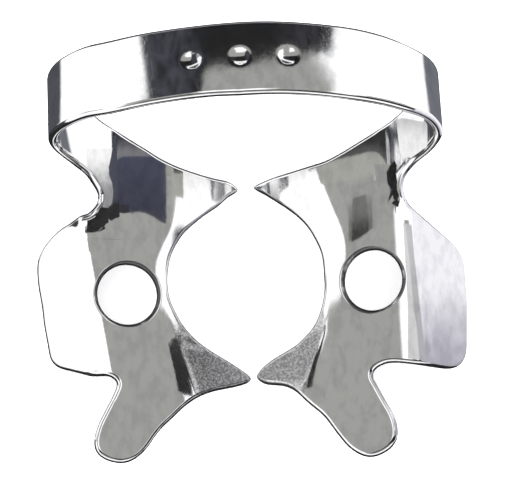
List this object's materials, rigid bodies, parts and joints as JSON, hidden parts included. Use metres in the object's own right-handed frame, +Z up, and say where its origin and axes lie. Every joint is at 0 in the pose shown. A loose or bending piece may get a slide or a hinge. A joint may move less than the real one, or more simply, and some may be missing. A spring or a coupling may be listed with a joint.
{
  "type": "dental dam clamp",
  "caption": "Winged dental dam clamp: a high sprung bow carries jaws with gripping prongs, lateral and front wings and forceps holes.",
  "frame": {"origin": "middle of the bounding box, at the height of the prong tips that the clamp stands on", "axes": "+X across the jaws, +Y from the front wings towards the bow, +Z up from the prong tips to the top of the bow"},
  "size_m": [0.0248, 0.024, 0.0134],
  "materials": {
    "steel": "polished stainless spring steel, tumbled edges"
  },
  "bodies": {
    "root": {"clamp": "steel"}
  },
  "joints": []
}
